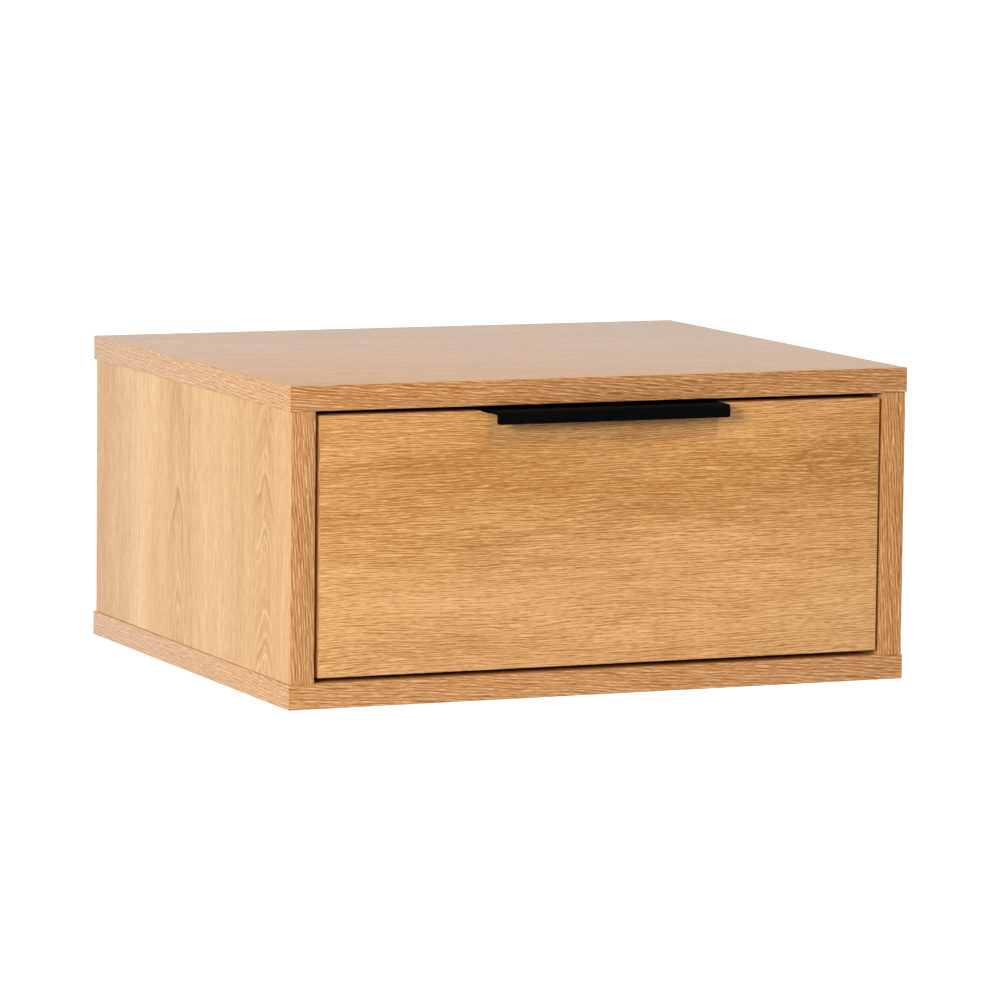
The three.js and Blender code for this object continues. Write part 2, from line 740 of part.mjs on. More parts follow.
// What is fitted to each side
const carcass = new THREE.Group();
const drawer = new THREE.Group();
for (const side of [-1, 1]) {
  const label = side < 0 ? 'left' : 'right';
  const outer = cabinetRail(`${label}_cabinet_rail`, side);
  const runner = drawerRail(`${label}_drawer_rail`, side);

  // Rollers: the front one turns on the cabinet rail, the rear one on the drawer rail
  const pinHole = rod(pinRadius + pinFit, sheet + 2 * overrun, screwSteps).rotateZ(Math.PI / 2);
  const frontRollerX = side * (railWebInner - rollerSideGap - rollerWidth / 2);
  const rearRollerX = side * (runnerWebOuter + rollerSideGap + rollerWidth / 2);
  cut(outer, pinHole, side * (railWebOuter - sheet / 2), frontRollerY, frontRollerZ);
  cut(runner, pinHole, side * (runnerWebInner + sheet / 2), rearRollerY, rearRollerZ);
  carcass.add(roller(`${label}_front_roller`, frontRollerX, frontRollerY, frontRollerZ));
  carcass.add(rollerPin(`${label}_front_roller_pin`, -side, side * railWebOuter, frontRollerY, frontRollerZ));
  drawer.add(roller(`${label}_rear_roller`, rearRollerX, rearRollerY, rearRollerZ));
  drawer.add(rollerPin(`${label}_rear_roller_pin`, side, side * runnerWebInner, rearRollerY, rearRollerZ));

  // Screws that hold the cabinet rail, flush in its web
  const turn = (geometry) => geometry.rotateZ((side * Math.PI) / 2);
  const railHole = turn(countersunkHole(railScrewRadius, railScrewHead, railScrewLength));
  const railMiddle = (railBottom + railTop) / 2;
  for (const [place, y] of [['front', railFront + railScrewInset], ['rear', railRear - railScrewInset]]) {
    const made = turn(countersunkScrew(railScrewRadius, railScrewHead, railScrewLength));
    const x = side * railWebInner;
    cut(outer, railHole, x, y, railMiddle);
    cut(sidePanels[side], railHole, x, y, railMiddle);
    carcass.add(piece(`${label}_${place}_cabinet_rail_screw`, made, steel, x, y, railMiddle));
  }

  // Screws up through the drawer rail into the drawer side
  const boxScrewX = side * (boxHalf - boxBoard / 2);
  const boxScrewHoleLength = 2 * (boxScrewLength + screwClearance);
  const boxScrewHole = rod(railScrewRadius + screwClearance, boxScrewHoleLength, screwSteps);
  boxScrewHole.rotateX(Math.PI / 2);
  for (const [place, y] of [['front', boxFront + boxScrewInset], ['rear', runnerRear - boxScrewInset]]) {
    const made = roundheadScrew(railScrewRadius, railScrewHead, boxScrewLength, boxScrewHeadHeight);
    const z = railBottom - jointLine;
    cut(runner, boxScrewHole, boxScrewX, y, z);
    cut(drawerSides[side], boxScrewHole, boxScrewX, y, z);
    drawer.add(piece(`${label}_${place}_drawer_rail_screw`, made, steel, boxScrewX, y, z));
  }

  // Screw through the drawer side into the back board's end
  const backScrewZ = (boxTop + backBottom) / 2;
  const backY = drawerBack.position.y;
  const backScrew = countersunkScrew(backScrewRadius, backScrewHead, backScrewLength);
  const backHole = countersunkHole(backScrewRadius, backScrewHead, backScrewLength);
  backScrew.rotateZ((-side * Math.PI) / 2);
  backHole.rotateZ((-side * Math.PI) / 2);
  cut(drawerSides[side], backHole, side * boxHalf, backY, backScrewZ);
  cut(drawerBack, backHole, side * boxHalf, backY, backScrewZ);
  drawer.add(piece(`${label}_drawer_back_screw`, backScrew, steel, side * boxHalf, backY, backScrewZ));

  // Cam lock that pulls the drawer side to the front
  const camY = frontBack + drawerCam.reach;
  const camZ = boxBottom + boxHeight * drawerCamDropShare;
  const outward = side < 0 ? Math.PI : 0;
  const towards = (geometry) => geometry.rotateX(Math.PI / 2).rotateY(outward);
  const lockX = side * boxInner;
  const boltX = side * (boxInner + boxBoard / 2);
  cut(drawerSides[side], towards(camHole(drawerCam, boxBoard)), lockX, camY, camZ);
  cut(drawerSides[side], towards(boltHole(drawerCam)), boltX, camY, camZ);
  cut(drawerFront, towards(threadHole(drawerCam)), boltX, camY, camZ);
  drawer.add(piece(`${label}_drawer_cam`, towards(camLock(drawerCam, boxBoard)), zinc, lockX, camY, camZ));
  drawer.add(piece(`${label}_drawer_cam_bolt`, towards(camBolt(drawerCam)), steel, boltX, camY, camZ));

  carcass.add(outer);
  drawer.add(runner);
}

carcass.add(topPanel, bottomPanel, sidePanels[-1], sidePanels[1], backPanel, hangingRail);
carcass.add(...railDowels, ...carcassFittings);
drawer.add(drawerFront, drawerSides[-1], drawerSides[1], drawerBack, drawerBottom, pull, ...pullScrews);

const nightstand = new THREE.Group();
nightstand.add(carcass, drawer);
nightstand.position.z = -wallScrewHeight;

export default nightstand;
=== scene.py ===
import json
import math

import bpy
from mathutils import Euler, Matrix, Vector

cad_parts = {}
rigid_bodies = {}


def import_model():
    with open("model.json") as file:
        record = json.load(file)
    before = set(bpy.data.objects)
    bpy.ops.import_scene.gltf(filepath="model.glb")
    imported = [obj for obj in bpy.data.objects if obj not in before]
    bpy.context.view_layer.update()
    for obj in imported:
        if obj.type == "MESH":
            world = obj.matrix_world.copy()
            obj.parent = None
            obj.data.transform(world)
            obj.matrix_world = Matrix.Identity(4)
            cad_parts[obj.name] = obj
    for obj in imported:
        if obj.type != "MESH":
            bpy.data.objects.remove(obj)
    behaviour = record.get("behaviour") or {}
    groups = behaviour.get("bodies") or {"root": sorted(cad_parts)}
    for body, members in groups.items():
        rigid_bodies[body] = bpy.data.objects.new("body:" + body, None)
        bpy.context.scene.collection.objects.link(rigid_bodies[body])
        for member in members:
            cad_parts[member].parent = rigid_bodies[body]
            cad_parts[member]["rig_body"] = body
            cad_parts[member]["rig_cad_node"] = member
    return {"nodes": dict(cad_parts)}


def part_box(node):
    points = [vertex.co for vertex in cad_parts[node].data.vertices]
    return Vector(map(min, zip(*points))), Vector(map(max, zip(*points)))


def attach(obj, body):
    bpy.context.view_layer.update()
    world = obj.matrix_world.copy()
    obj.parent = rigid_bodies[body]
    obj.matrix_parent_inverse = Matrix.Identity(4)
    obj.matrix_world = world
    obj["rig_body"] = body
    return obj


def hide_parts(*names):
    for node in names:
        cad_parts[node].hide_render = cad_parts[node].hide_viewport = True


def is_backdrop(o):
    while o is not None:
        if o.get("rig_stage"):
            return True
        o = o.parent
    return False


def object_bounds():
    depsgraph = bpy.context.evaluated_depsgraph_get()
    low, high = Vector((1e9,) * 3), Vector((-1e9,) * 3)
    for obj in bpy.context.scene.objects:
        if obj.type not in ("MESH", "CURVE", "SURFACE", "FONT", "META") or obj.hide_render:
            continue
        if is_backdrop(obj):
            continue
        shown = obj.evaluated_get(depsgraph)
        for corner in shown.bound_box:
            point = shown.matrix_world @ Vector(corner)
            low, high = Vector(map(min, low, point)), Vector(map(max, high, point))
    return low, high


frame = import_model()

cad_low, cad_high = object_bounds()
cad = frame["nodes"]


# Camera. It stands 3.8 m from the cabinet's middle, 23 degrees to the left of its front and 7
# degrees above it. Its lens is long, so the cabinet's edges run nearly parallel in the picture.
camera_place = Vector((-1.47193, -3.62362, 0.39075))
camera_azimuth = math.radians(-23.18)
camera_elevation = math.radians(6.66)
camera_roll = math.radians(0.60)
film_width = 36
focal_length = 219.58
bpy.ops.object.camera_add(location=camera_place)
camera = bpy.context.object
camera.data.sensor_width = film_width
camera.data.lens = focal_length
level = Euler((math.radians(90) - camera_elevation, 0, camera_azimuth)).to_matrix()
camera.rotation_euler = (level @ Matrix.Rotation(camera_roll, 3, "Z")).to_euler()
bpy.context.scene.camera = camera
bpy.context.scene.view_settings.view_transform = "Standard"


# Studio. The cabinet hangs over a pale floor in a white surround that also fills its shadows. One
# large soft lamp stands low on its left, and a second, weaker one hangs high in front of it. The
# lamps don't show in reflections, where they would burn out the top.
class Shade:
    """A socket of a material's node tree. Arithmetic on it adds Math nodes."""

    def __init__(self, tree, socket=None):
        self.tree = tree
        self.socket = socket

    def add(self, kind, settings=None, inputs=None, output=0):
        """Adds a node: its settings first, then its sockets' values or links."""
        node = self.tree.nodes.new(kind)
        for name, value in (settings or {}).items():
            if name == "stops":
                set_stops(node.color_ramp, value)
            else:
                setattr(node, name, value)
        for name, value in (inputs or {}).items():
            if isinstance(value, Shade):
                self.tree.links.new(value.socket, node.inputs[name])
            else:
                node.inputs[name].default_value = value
        return Shade(self.tree, node.outputs[output] if len(node.outputs) else None)

    def other(self, name):
        """Another output of the same node."""
        return Shade(self.tree, self.socket.node.outputs[name])

    def maths(self, operation, *values):
        return self.add("ShaderNodeMath", {"operation": operation}, dict(enumerate(values)))

    def __add__(self, value):
        return self.maths("ADD", self, value)

    def __sub__(self, value):
        return self.maths("SUBTRACT", self, value)

    def __rsub__(self, value):
        return self.maths("SUBTRACT", value, self)

    def __mul__(self, value):
        return self.maths("MULTIPLY", self, value)

    def __truediv__(self, value):
        return self.maths("DIVIDE", self, value)

    def __pow__(self, value):
        return self.maths("POWER", self, value)

    def __abs__(self):
        return self.maths("ABSOLUTE", self)

    __radd__ = __add__
    __rmul__ = __mul__

    def sine(self):
        return self.maths("SINE", self)

    def tanh(self):
        return self.maths("TANH", self)

    def least(self, value):
        return self.maths("MINIMUM", self, value)

    def rise(self, start, end):
        """0 before start, 1 past end, and smooth between. It falls where end is below start."""
        low, high = min(start, end), max(start, end)
        settings = {"interpolation_type": "SMOOTHSTEP"}
        values = {"Value": self, "From Min": low, "From Max": high}
        made = self.add("ShaderNodeMapRange", settings, values)
        return made if end > start else 1 - made

    def blend(self, first, second):
        """The colour that goes from first to second as this value goes from 0 to 1. A Mix node's
        colours are its inputs 6 and 7 and its output 2."""
        settings = {"data_type": "RGBA", "clamp_factor": True}
        return self.add("ShaderNodeMix", settings, {0: self, 6: first, 7: second}, 2)


def set_stops(ramp, stops):
    """Fills a colour ramp from pairs of place and colour."""
    while len(ramp.elements) < len(stops):
        ramp.elements.new(1.0)
    for element, (place, color) in zip(ramp.elements, stops):
        element.position = place
        element.color = color


def new_material(name):
    """An empty material, and the Shade that its nodes are added to."""
    material = bpy.data.materials.new(name)
    material.use_nodes = True
    material.node_tree.nodes.clear()
    return material, Shade(material.node_tree)


def give_surface(shade, shader):
    shade.add("ShaderNodeOutputMaterial", None, {"Surface": shader})


def split(shade, place):
    """A place's parts along X, Y and Z."""
    parts = shade.add("ShaderNodeSeparateXYZ", None, {0: place})
    return parts, parts.other(1), parts.other(2)


def object_place(shade):
    return shade.add("ShaderNodeTexCoord").other("Object")


def by_use(shade, plain, mirrored, falling):
    """One strength for what the camera sees, one for a reflection and one for light that falls."""
    path = shade.add("ShaderNodeLightPath")
    seen = (path.other("Is Camera Ray") + path.other("Is Transmission Ray")).least(1.0)
    glossy = path.other("Is Glossy Ray")
    return seen * plain + glossy * mirrored + (1 - seen - glossy) * falling


white = (1, 1, 1, 1)
fill_level = 0.20
fill_above = 0.16
fill_left = 0.72
fill_right = 0.60
fill_behind = 0.60
front_mirrored = 0.15
above_span = (0.0, 0.8)
left_span = (-0.30, -0.95)
right_span = (0.40, 0.95)
behind_span = (0.40, 0.95)
mirrored_span = (-0.4, 0.1)
world = bpy.data.worlds.new("surround")
world.use_nodes = True
world.node_tree.nodes.clear()
bpy.context.scene.world = world
surround = Shade(world.node_tree)
sight = surround.add("ShaderNodeTexCoord").other("Generated")
to_right, to_back, upward = split(surround, sight)
fill = fill_level - upward.rise(*above_span) * (fill_level - fill_above)
fill = fill + to_right.rise(*left_span) * fill_left
fill = fill + to_right.rise(*right_span) * fill_right
fill = fill + to_back.rise(*behind_span) * fill_behind
mirrored = to_back.rise(*mirrored_span) * (1 - front_mirrored) + front_mirrored
brightness = by_use(surround, 1.0, mirrored, fill)
values = {"Color": white, "Strength": brightness}
background = surround.add("ShaderNodeBackground", None, values)
surround.add("ShaderNodeOutputWorld", None, {"Surface": background})

floor_drop = 0.6
floor_size = 200
floor_grey = (0.6, 0.6, 0.6, 1)
near_glow = 0.76
far_glow = 0.96
glow_span = (1.0, 8.0)
mirrored_floor_span = (-2.0, 0.5)
bpy.ops.object.select_all(action="DESELECT")
bpy.ops.mesh.primitive_plane_add(size=floor_size, location=(0, 0, -floor_drop))
ground = bpy.context.object
ground.name = "floor"
ground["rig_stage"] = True
material, shade = new_material("pale_floor")
diffuse = shade.add("ShaderNodeBsdfDiffuse", None, {"Color": floor_grey})
spot = object_place(shade)
distance = shade.add("ShaderNodeVectorMath", {"operation": "LENGTH"}, {0: spot}, 1)
seen_glow = distance.rise(*glow_span) * (far_glow - near_glow) + near_glow
mirrored_glow = seen_glow * split(shade, spot)[1].rise(*mirrored_floor_span)
strength = by_use(shade, seen_glow, mirrored_glow, 0.0)
glow = shade.add("ShaderNodeEmission", None, {"Color": white, "Strength": strength})
lit = shade.add("ShaderNodeAddShader", None, {0: diffuse, 1: glow})
clear = shade.add("ShaderNodeBsdfTransparent")
under = shade.add("ShaderNodeNewGeometry").other("Backfacing")
give_surface(shade, shade.add("ShaderNodeMixShader", None, {0: under, 1: lit, 2: clear}))
ground.data.materials.append(material)

# Each lamp's direction from the cabinet, distance, width and power.
lamps = (
    ((-1.07, -1.0, 0.36), 6.5, 1.6, 287),
    ((0.09, -1.0, 0.90), 5.0, 0.7, 67),
)
lamp_aim = (cad_low + cad_high) / 2
for direction, distance, width, power in lamps:
    toward = Vector(direction).normalized()
    bpy.ops.object.light_add(type="AREA", location=lamp_aim + toward * distance)
    lamp = bpy.context.object
    lamp.data.shape = "DISK"
    lamp.data.size = width
    lamp.data.energy = power
    lamp.visible_glossy = False
    lamp.rotation_euler = toward.to_track_quat("Z", "Y").to_euler()


# Top and bottom panels. Each is particle board between two sheets of printed oak decor, with a
# plastic edge band of like decor glued round its four edges and rounded over with a cutter. Cam
# bolts are screwed into it from inside.
across, depthwise, upright = 0, 1, 2
edge_radius = 0.0004
edge_segments = 3
flat_enough = 0.99
end_facing = 0.7
bolt_bore_radius = 0.0031
bolt_bore_gap = 0.0002
bolt_bore_sides = 24


def deselect():
    bpy.ops.object.select_all(action="DESELECT")


def activate(piece):
    deselect()
    piece.select_set(True)
    bpy.context.view_layer.objects.active = piece


def fix_place(piece):
    """Puts a piece's place, turn and size into its mesh."""
    activate(piece)
    bpy.ops.object.transform_apply(location=True, rotation=True, scale=True)


def block(name, low, high):
    deselect()
    bpy.ops.mesh.primitive_cube_add(size=1, location=(low + high) / 2)
    made = bpy.context.object
    made.name = name
    made.scale = high - low
    fix_place(made)
    return made


def cylinder(name, centre, axis, radius, length, sides=48):
    """A cylinder along X, Y or Z."""
    turns = {across: (0, math.pi / 2, 0), depthwise: (math.pi / 2, 0, 0), upright: (0, 0, 0)}
    deselect()
    bpy.ops.mesh.primitive_cylinder_add(
        vertices=sides, radius=radius, depth=length, location=centre, rotation=turns[axis]
    )
    made = bpy.context.object
    made.name = name
    fix_place(made)
    return made


def pick(piece, mode, wanted):
    """Enters edit mode with only the vertices, edges or faces selected that the rule wants."""
    activate(piece)
    bpy.ops.object.mode_set(mode="EDIT")
    bpy.ops.mesh.select_mode(type=mode)
    bpy.ops.mesh.select_all(action="DESELECT")
    bpy.ops.object.mode_set(mode="OBJECT")
    mesh = piece.data
    elements = {"VERT": mesh.vertices, "EDGE": mesh.edges, "FACE": mesh.polygons}[mode]
    for element in elements:
        element.select = wanted(element)
    bpy.ops.object.mode_set(mode="EDIT")


def leave_edit():
    bpy.ops.object.mode_set(mode="OBJECT")


def edge_points(piece, edge):
    return [piece.data.vertices[i].co for i in edge.vertices]


def round_edges(piece, wanted, radius=edge_radius, segments=edge_segments):
    """Rounds the edges for whose two end points the rule holds."""
    pick(piece, "EDGE", lambda edge: wanted(*edge_points(piece, edge)))
    bpy.ops.mesh.bevel(offset=radius, offset_type="OFFSET", segments=segments, affect="EDGES")
    leave_edit()


def cut_out(piece, tool):
    """Cuts a tool out of a piece and removes the tool."""
    activate(piece)
    modifier = piece.modifiers.new("cut", "BOOLEAN")
    modifier.operation = "DIFFERENCE"
    modifier.solver = "EXACT"
    modifier.object = tool
    bpy.ops.object.modifier_apply(modifier=modifier.name)
    bpy.data.objects.remove(tool)


def smooth(piece, degrees=35):
    activate(piece)
    bpy.ops.object.shade_smooth_by_angle(angle=math.radians(degrees))


def main_axis(normal):
    return max((across, depthwise, upright), key=lambda axis: abs(normal[axis]))


end_stretch = -0.6
facing_shift = 0.7
side_shift = 0.31


def map_grain(piece, thin, long, shift):
    """UV map in metres: U runs along the wood's fibres and V across them. The decor runs along the
    axis called long on the board's two faces, and each edge band runs along its own edge. The
    shift chooses the stretch of decor that the piece was cut from. On the ends that face left and
    right the decor is mirrored and drawn out."""
    layer = piece.data.uv_layers.new(name="grain")
    for polygon in piece.data.polygons:
        facing = main_axis(polygon.normal)
        in_face = [axis for axis in (across, depthwise, upright) if axis != facing]
        along = long if facing == thin else [axis for axis in in_face if axis != thin][0]
        crosswise = [axis for axis in in_face if axis != along][0]
        plus = 1 if polygon.normal[facing] > 0 else 0
        first_face = facing == thin and not plus
        start = shift[0] + (0 if first_face else facing_shift * facing + side_shift * plus)
        stretch = end_stretch if along == depthwise and facing == across else 1
        for loop in polygon.loop_indices:
            point = piece.data.vertices[piece.data.loops[loop].vertex_index].co
            layer.data[loop].uv = (point[along] * stretch + start, point[crosswise] + shift[1])


def give_board_finish(piece, thin, finishes, on_edge):
    """The first finish on the board's faces. The rule gives the finish's number on its edges."""
    for material in finishes:
        piece.data.materials.append(material)
    for polygon in piece.data.polygons:
        on_face = abs(polygon.normal[thin]) > flat_enough
        polygon.material_index = 0 if on_face else on_edge(polygon)


def grain_place(shade):
    """Where a point lies along and across the wood's fibres."""
    u, v, _ = split(shade, shade.add("ShaderNodeUVMap", {"uv_map": "grain"}))
    return u, v


def streaks(u, v, length, thickness, detail=1.0, start=0.0):
    """Noise drawn out along the fibres, about 0.5 on average."""
    place = {0: u / length + start, 1: v / thickness + start}
    drawn_out = u.add("ShaderNodeCombineXYZ", None, place)
    values = {"Vector": drawn_out, "Scale": 1.0, "Detail": detail, "Roughness": 0.5}
    return u.add("ShaderNodeTexNoise", {"noise_dimensions": "2D"}, values)


def swing(u, v, length, thickness, strength, detail=1.0, start=0.0):
    """Streaks that swing to both sides of zero."""
    return (streaks(u, v, length, thickness, detail, start) - 0.5) * strength


def flowing(u, v):
    """Fibres that drift and ripple: how far across the grain the fibre at a point has wandered."""
    drift = swing(u, v, length=0.22, thickness=0.07, strength=0.016)
    ripple = swing(u, v, length=0.070, thickness=0.020, strength=0.0012, start=3.7)
    return v + drift + ripple


def fine_lines(u, w, spacing, length, thickness, wander):
    """Lines along the fibres, about one spacing apart, that wander and come and go."""
    phase = w * (2 * math.pi / spacing) + streaks(u, w, length, thickness, start=11.3) * wander
    shown = streaks(u, w, length / 4, spacing, start=4.4).rise(0.36, 0.60)
    return phase.sine() * shown * 1.4


def principled(shade, color, roughness, normal, **values):
    inputs = {"Base Color": color, "Roughness": roughness, "Normal": normal}
    inputs.update({name.replace("_", " "): value for name, value in values.items()})
    return shade.add("ShaderNodeBsdfPrincipled", None, inputs)


def relief(shade, height, strength, distance):
    values = {"Height": height, "Strength": strength, "Distance": distance}
    return shade.add("ShaderNodeBump", None, values)


def melamine(shade, color, height, roughness):
    """The hard clear resin over the print: embossed, half gloss, and brighter at a low angle."""
    normal = relief(shade, height, strength=0.3, distance=0.0002)
    give_surface(shade, principled(shade, color, roughness, normal, IOR=1.6))


def three_stops(dark, middle, light):
    return [(0.0, dark), (0.5, middle), (1.0, light)]


oak_dark = (0.430, 0.172, 0.032, 1)
oak_middle = (0.655, 0.325, 0.105, 1)
oak_light = (0.830, 0.468, 0.190, 1)
oak_stops = three_stops(oak_dark, oak_middle, oak_light)
pore_brown = (0.330, 0.118, 0.024, 1)
pore_strength = 0.4
decor_level = 0.49
decor_roughness = 0.30


def oak_decor(name, bands=(), figure=None, share=1.0, stops=oak_stops, reach=1.0):
    """Printed oak decor. Bands are lighter or darker stretches across the grain, given as place,
    half width and strength. Figure draws what the cut through the growth rings shows. Share
    softens the whole print, and reach is the length of its single fibres."""
    material, shade = new_material(name)
    u, v = grain_place(shade)
    w, drawn = flowing(u, v), 0.0
    if figure:
        w, drawn = figure(u, v, w)
    tone = swing(u, w, length=0.15, thickness=0.012, strength=0.55, detail=2.0, start=9.1)
    tone = tone + swing(u, w, length=0.050, thickness=0.004, strength=0.15, start=5.3)
    for place, half, strength in bands:
        near = abs(w - place).rise(half, 0)
        tone = tone + near * (streaks(u, w, length=0.12, thickness=0.03, start=2.2) * strength)
    tone = tone + drawn
    short = swing(u, w, length=0.011 * reach, thickness=0.00045, strength=0.95, start=1.9)
    long = swing(u, w, length=0.045 * reach, thickness=0.00055, strength=0.95, start=6.9)
    lines = fine_lines(u, w, spacing=0.0015, length=0.04, thickness=0.003, wander=11.0)
    fibres = short + long + lines * 0.36
    pores = streaks(u, w, length=0.006, thickness=0.0005, start=7.7).rise(0.60, 0.76)
    value = tone * share + fibres * share + decor_level
    color = shade.add("ShaderNodeValToRGB", {"stops": stops}, {0: value})
    color = (pores * (pore_strength * share)).blend(color, pore_brown)
    roughness = decor_roughness - fibres * 0.03 + pores * 0.1
    melamine(shade, color, fibres * 0.5 - pores, roughness)
    return material


band_dark = (0.330, 0.112, 0.018, 1)
band_middle = (0.545, 0.250, 0.080, 1)
band_cream = (0.810, 0.455, 0.220, 1)
band_stops = three_stops(band_dark, band_middle, band_cream)
band_slant = 0.075
band_roughness = 0.32


def oak_band(name, level=0.5, contrast=1.0, stops=band_stops, reach=1.0):
    """Edge band: steeper, bolder lines of cream on orange brown than the faces have."""
    material, shade = new_material(name)
    u, v = grain_place(shade)
    w = v + u * band_slant + swing(u, v, length=0.12, thickness=0.03, strength=0.004, start=4.2)
    long = swing(u, w, length=0.014 * reach, thickness=0.0007, strength=0.56, start=6.1)
    short = swing(u, w, length=0.006 * reach, thickness=0.0005, strength=0.52, start=2.6)
    tone = swing(u, w, length=0.12, thickness=0.006, strength=0.2, start=8.3)
    fine = fine_lines(u, w, spacing=0.0019, length=0.03 * reach, thickness=0.004, wander=9.0)
    lines = fine * 0.31 + long + short
    value = (tone + lines) * contrast + level
    color = shade.add("ShaderNodeValToRGB", {"stops": stops}, {0: value})
    melamine(shade, color, lines, band_roughness - lines * 0.03)
    return material


chip_brown = (0.36, 0.23, 0.12, 1)
chip_straw = (0.66, 0.50, 0.33, 1)
chips_per_metre = 700.0


def particle_board():
    """Bare particle board: pressed chips of several browns, rough and dull. On the drawer front's
    recess slopes its pale colour also stands in for a painted highlight.
    """
    material, shade = new_material("particle_board")
    values = {"Vector": object_place(shade), "Scale": chips_per_metre}
    chips = shade.add("ShaderNodeTexVoronoi", None, values)
    tint = shade.add("ShaderNodeSeparateColor", None, {0: chips.other("Color")})
    color = tint.blend(chip_brown, chip_straw)
    normal = relief(shade, chips, strength=0.6, distance=0.0004)
    give_surface(shade, principled(shade, color, 0.85 - tint * 0.1, normal))
    return material


def cabinet_fittings(ending, start=""):
    """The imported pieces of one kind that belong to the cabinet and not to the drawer."""
    named = [name for name in cad if name.startswith(start) and name.endswith(ending)]
    return [name for name in named if "drawer" not in name]


def sheen_end_or_front(polygon):
    """The third finish, a lighter band that paints in sheen, on the left and right ends; the second
    on the front and the rear.
    """
    return 2 if abs(polygon.normal.x) > end_facing else 1


# Lighter colours for the band on the left and right ends: painted sheen, standing in for the light
# that the lit left end reflects.
end_sheen_dark = (0.435, 0.177, 0.013, 1)
end_sheen_middle = (0.645, 0.335, 0.125, 1)
end_sheen_cream = (0.855, 0.494, 0.238, 1)
end_sheen_stops = three_stops(end_sheen_dark, end_sheen_middle, end_sheen_cream)
top_decor = oak_decor("oak_decor_top", share=0.6)
band_decor = oak_band("oak_edge_band")
deep_band = oak_band("oak_edge_band_deep", level=0.41)
# The ends' band is painted sheen: a lighter, slightly flatter copy of the edge band.
end_sheen_band = oak_band("oak_edge_band_ends_painted_sheen", contrast=0.95, stops=end_sheen_stops, reach=0.5)
chip_core_and_highlight = particle_board()
for node, front_band, shift in (
    ("top_panel", deep_band, (0.2, 0.55)),
    ("bottom_panel", band_decor, (1.1, 0.13)),
):
    low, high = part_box(node)
    panel = block(node + "_board", low, high)
    round_edges(panel, lambda a, b: True)
    for bolt in cabinet_fittings("_cam_bolt"):
        start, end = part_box(bolt)
        if start.z < high.z and end.z > low.z:
            tip, face = (start.z, high.z) if node == "bottom_panel" else (end.z, low.z)
            centre = Vector(((start.x + end.x) / 2, (start.y + end.y) / 2, face))
            length = 2 * abs(tip - face) + bolt_bore_gap
            bore = cylinder("bore", centre, upright, bolt_bore_radius, length, bolt_bore_sides)
            cut_out(panel, bore)
    map_grain(panel, upright, across, shift)
    give_board_finish(panel, upright, (top_decor, front_band, end_sheen_band), sheen_end_or_front)
    smooth(panel)
    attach(panel, "cabinet")
    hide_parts(node)


# Side panels. The same board with its grain upright, banded on the front edge only, and drilled
# for four cam locks on its inner face. The cams pull it between the top and the bottom.
hair = 0.00001
cam_side_gap = 0.00015
cam_depth_gap = 0.0003
ring_count = 210
ring_contrast = 2.6
ring_dimming = 0.2
solid_share = 0.35
# Columns of arches: place across the grain, half width, how round their tips and how flat they are.
columns = (
    {"place": -0.1527, "half": 0.022, "bend": 0.007, "slope": 0.25},
    {"place": -0.2990, "half": 0.020, "bend": 0.006, "slope": 0.55},
)


def growth_rings(growth, count, detail, roughness=0.5):
    """Uneven rings, as noise along the distance that the tree has grown."""
    values = {"W": growth * count, "Scale": 1.0, "Detail": detail, "Roughness": roughness}
    return growth.add("ShaderNodeTexNoise", {"noise_dimensions": "1D"}, values)


def side_figure(u, v, w):
    """Upward arches in two columns, where the cut runs along the growth rings."""
    drawn = 0.0
    for column in columns:
        offset = abs(w - column["place"])
        growth = (offset * offset + column["bend"] ** 2) ** 0.5 + u * column["slope"]
        growth = growth + swing(u, v, length=0.035, thickness=0.014, strength=0.009, start=6.6)
        rings = growth_rings(growth, ring_count, detail=2.0, roughness=0.6)
        inside = offset.rise(column["half"], column["half"] * solid_share)
        drawn = drawn + inside * ((rings - 0.5) * ring_contrast - ring_dimming)
    return w, drawn


side_bands = [
    (-0.015, 0.050, -0.5),
    (-0.092, 0.045, 0.75),
    (-0.176, 0.0016, -0.8),
    (-0.212, 0.040, 0.45),
]
side_dark = (0.488, 0.205, 0.030, 1)
side_middle = (0.700, 0.393, 0.142, 1)
side_light = (0.900, 0.572, 0.258, 1)
side_stops = three_stops(side_dark, side_middle, side_light)


def cut_cam_bore(board, cam):
    """Bores the hole that a cam lock sits in."""
    start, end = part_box(cam)
    radius = (end.y - start.y) / 2 + cam_side_gap
    length = end.x - start.x + cam_depth_gap
    cut_out(board, cylinder("bore", (start + end) / 2, across, radius, length))


side_decor = oak_decor("oak_decor_side", side_bands, side_figure, share=0.6, stops=side_stops)
for side, front_band in (("left", band_decor), ("right", deep_band)):
    node = side + "_side_panel"
    low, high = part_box(node)
    panel = block(node + "_board", low, high)
    fore = low.y + edge_radius
    round_edges(panel, lambda a, b: a.y < fore and b.y < fore and abs(a.x - b.x) < hair)
    for cam in cabinet_fittings("_cam", start=side):
        cut_cam_bore(panel, cam)
    map_grain(panel, across, upright, (0.0, 0.0))
    finishes = (side_decor, front_band, chip_core_and_highlight)
    give_board_finish(panel, across, finishes, lambda polygon: 1 if polygon.center.y < fore else 2)
    smooth(panel)
    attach(panel, "cabinet")
    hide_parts(node)


# Drawer front. The same board with its grain level, banded all round. A shallow recess with
# sloping ends is cut in its top edge for the pull, and a groove behind holds the drawer's bottom.
recess_depth = 0.0017
recess_floor_half = 0.0756
recess_end_half = 0.0803
recess_reach = 0.1
slope_rise = 0.5
slope_lean = 0.05
groove_gap = 0.0002
overrun = 0.001
eye_u, eye_v = 0.145, -0.012
eye_half_length = 0.052
eye_half_height = 0.024
eye_core = 0.006
eye_push = 0.0030
eye_bend = 0.004
eye_slope = 0.40
eye_ring_count = 420.0
eye_dimming = 0.08


